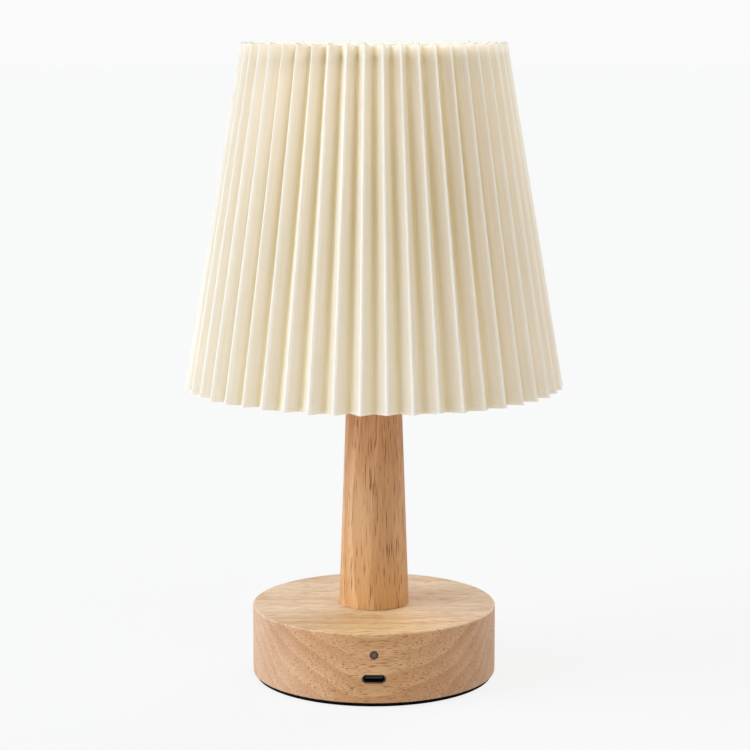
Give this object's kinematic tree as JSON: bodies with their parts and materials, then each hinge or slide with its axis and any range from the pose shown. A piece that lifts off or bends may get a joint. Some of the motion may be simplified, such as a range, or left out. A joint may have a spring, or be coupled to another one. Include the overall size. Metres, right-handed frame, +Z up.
{
  "type": "cordless table lamp",
  "caption": "Small rechargeable table lamp with a tapered wooden stem on a round wooden base, a conical pleated fabric shade, a side button and a charging socket.",
  "frame": {"origin": "middle of the face the lamp stands on, below the stem's axis", "axes": "+Z up along the stem, -Y towards the charging side with the socket and the button, +X to the right"},
  "size_m": [0.1482, 0.1482, 0.25],
  "materials": {
    "foam_pad": "matt black foam",
    "base_wood": "oiled pale wood, grain along X",
    "stem_wood": "oiled wood, grain along the stem",
    "shade_fabric": "cream woven shade fabric on a stiff backing",
    "white_wire": "white powder coat on steel wire",
    "white_plastic": "white moulded, satin",
    "opal_plastic": "opal diffuser",
    "black_plastic": "black moulded, satin",
    "plated_steel": "zinc or nickel plated",
    "button_plastic": "translucent grey, smooth",
    "board_laminate": "green solder mask",
    "light_board": "white solder mask on aluminium",
    "led_lens": "yellow phosphor",
    "socket_plastic": "natural nylon",
    "cell_pouch": "laminate pouch",
    "foam_tape": "white foam tape",
    "lead_sleeve": "silicone sleeve"
  },
  "bodies": {
    "base": {"foot_pad": "foam_pad", "base_block": "base_wood", "usb_shell": "plated_steel", "usb_tongue": "black_plastic", "stem": "stem_wood", "lamp_holder": "white_plastic", "opal_dome": "opal_plastic", "bottom_cover": "black_plastic", "cover_screws": "plated_steel", "cell_tape": "foam_tape", "battery_cell": "cell_pouch", "control_board": "board_laminate", "board_chips": "black_plastic", "wire_sockets": "socket_plastic", "button_switch": "black_plastic", "led_leads": "lead_sleeve", "cell_leads": "lead_sleeve", "lamp_pipe": "plated_steel", "pipe_washer": "plated_steel", "pipe_nuts": "plated_steel", "led_board": "light_board", "led_chips": "led_lens", "led_screws": "plated_steel"},
    "power_button": {"power_button": "button_plastic"},
    "shade": {"pleated_shade": "shade_fabric", "shade_top_ring": "white_wire", "shade_bottom_ring": "white_wire", "shade_arms": "white_wire", "fitter_ring": "white_wire"},
    "shade_ring": {"shade_ring": "white_plastic"}
  },
  "joints": [
    {"name": "button_press", "type": "slide", "parent": "base", "child": "power_button", "axis": [0, 1, 0], "range_m": [0, 0.0005], "stiffness_N_per_m": 400},
    {"name": "shade_lift", "type": "slide", "parent": "base", "child": "shade", "axis": [0, 0, 1], "range_m": [0, 0.1]},
    {"name": "ring_turn", "type": "hinge", "parent": "shade", "child": "shade_ring", "pos_m": [0, 0, 0.1482], "axis": [0, 0, 1], "range_deg": [0, 1080]}
  ]
}
